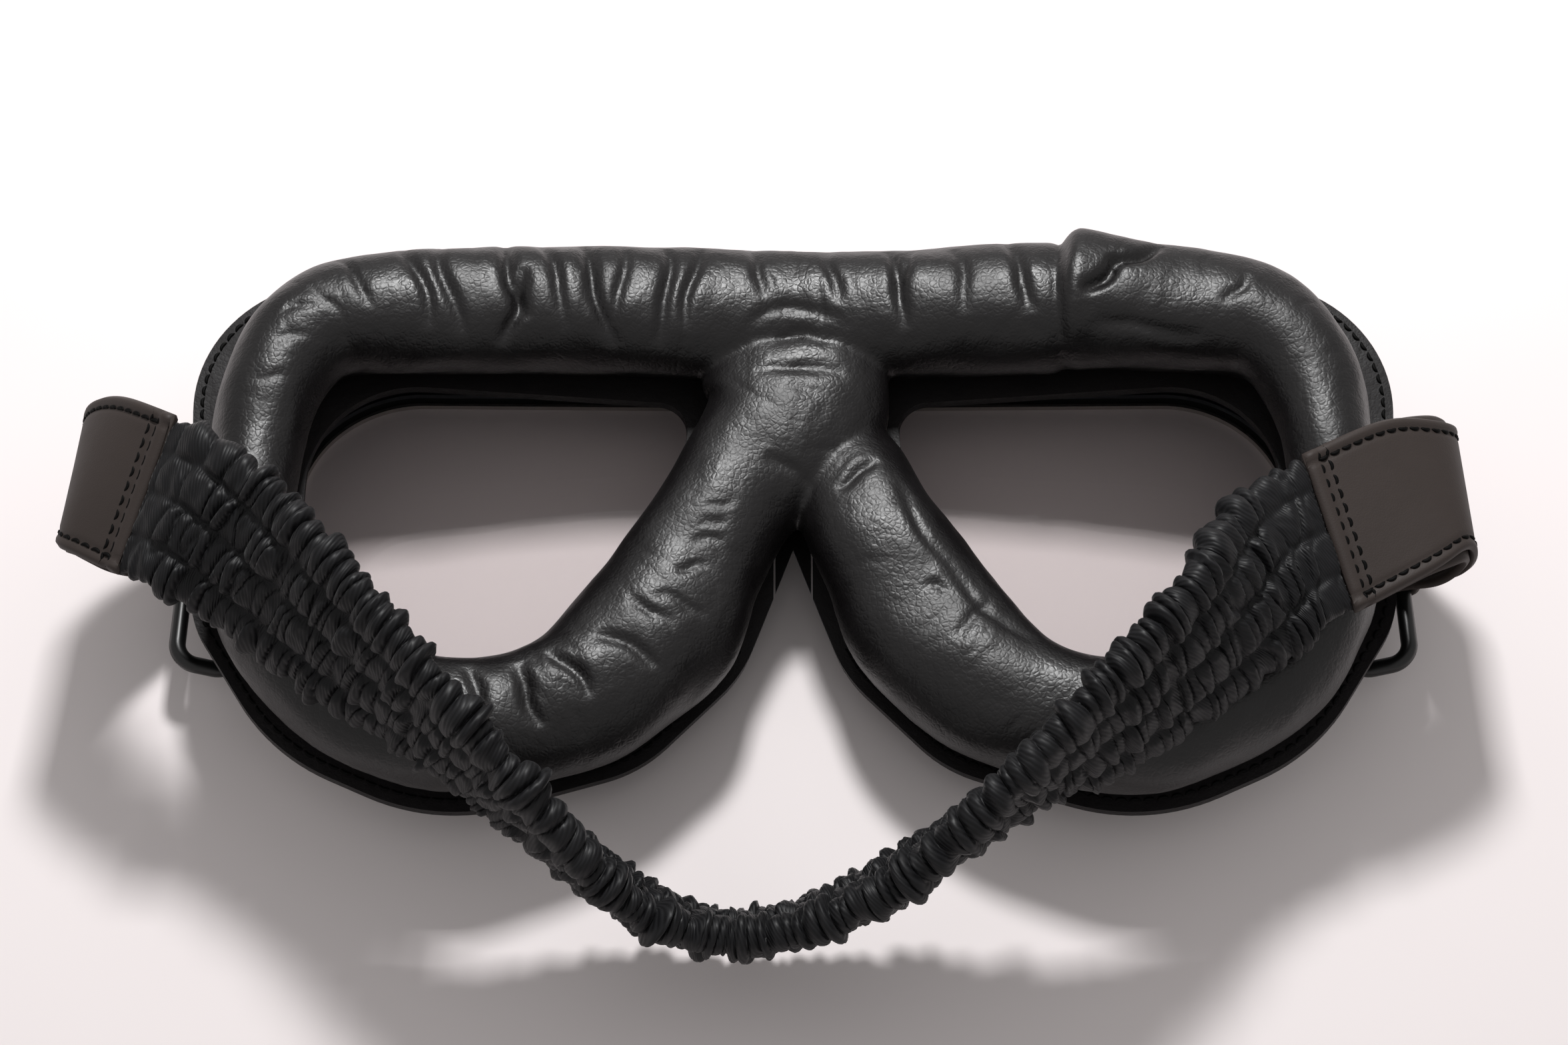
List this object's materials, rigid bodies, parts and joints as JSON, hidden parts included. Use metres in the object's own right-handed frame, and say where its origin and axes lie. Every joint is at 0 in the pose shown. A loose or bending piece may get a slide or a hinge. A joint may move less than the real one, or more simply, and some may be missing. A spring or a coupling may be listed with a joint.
{
  "type": "aviator flying goggles",
  "caption": "Padded leather flying goggles with two metal-rimmed clear lenses, a hinged nose bridge and a ruched elastic strap on swinging leather tabs.",
  "frame": {"origin": "midway between the two lenses, on the plane of the rims' front faces, on which the goggles lie", "axes": "+X across the face to the right temple as the wearer sees the padded side, +Y up the face towards the brow, +Z from the lenses towards the wearer's face"},
  "size_m": [0.206, 0.118, 0.0532],
  "materials": {
    "leather": "soft grained black leather with a low sheen",
    "tab_leather": "matt dark brown-black leather",
    "satin": "ruched black satin",
    "elastic": "woven rubber elastic",
    "foam": "soft open foam",
    "rim_metal": "polished nickel plate",
    "spring_steel": "spring steel",
    "fastener_steel": "turned steel",
    "gasket": "soft rubber",
    "lens": "clear toughened glass"
  },
  "bodies": {
    "left_half": {"left_rim": "rim_metal", "left_lens_gasket": "gasket", "left_lens": "lens", "left_lens_retainer": "spring_steel", "left_mask_wall": "leather", "left_flange": "leather", "left_pad_foam": "foam", "left_pad_cover": "leather", "left_loop_lug": "rim_metal", "left_wire_loop": "rim_metal", "left_bridge_bracket": "rim_metal", "bridge_screw": "fastener_steel", "bridge_nut": "fastener_steel", "nose_pad_cover": "leather", "nose_pad_foam": "foam", "nose_web": "leather", "middle_strap_sleeve": "satin", "middle_strap_elastic": "elastic"},
    "right_half": {"right_rim": "rim_metal", "right_lens_gasket": "gasket", "right_lens": "lens", "right_lens_retainer": "spring_steel", "right_mask_wall": "leather", "right_flange": "leather", "right_pad_foam": "foam", "right_pad_cover": "leather", "right_loop_lug": "rim_metal", "right_wire_loop": "rim_metal", "right_bridge_bracket": "rim_metal"},
    "left_tab": {"left_strap_tab": "tab_leather", "left_tab_lining": "tab_leather", "left_strap_sleeve": "satin", "left_strap_elastic": "elastic"},
    "right_tab": {"right_strap_tab": "tab_leather", "right_tab_lining": "tab_leather", "right_strap_sleeve": "satin", "right_strap_elastic": "elastic"}
  },
  "joints": [
    {"name": "bridge_fold", "type": "hinge", "parent": "left_half", "child": "right_half", "pos_m": [0, 0.016, 0.005], "axis": [0, -1, 0], "range_deg": [0, 20], "deforming": ["nose_pad_cover", "nose_pad_foam", "nose_web", "middle_strap_sleeve", "middle_strap_elastic"]},
    {"name": "left_tab_swing", "type": "hinge", "parent": "left_half", "child": "left_tab", "pos_m": [-0.09276, -0.004, 0.00898], "axis": [0, -1, 0], "range_deg": [-20, 40], "deforming": ["left_strap_sleeve", "left_strap_elastic"]},
    {"name": "right_tab_swing", "type": "hinge", "parent": "right_half", "child": "right_tab", "pos_m": [0.09276, -0.004, 0.00898], "axis": [0, 1, 0], "range_deg": [0, 60], "deforming": ["right_strap_sleeve", "right_strap_elastic"]}
  ]
}
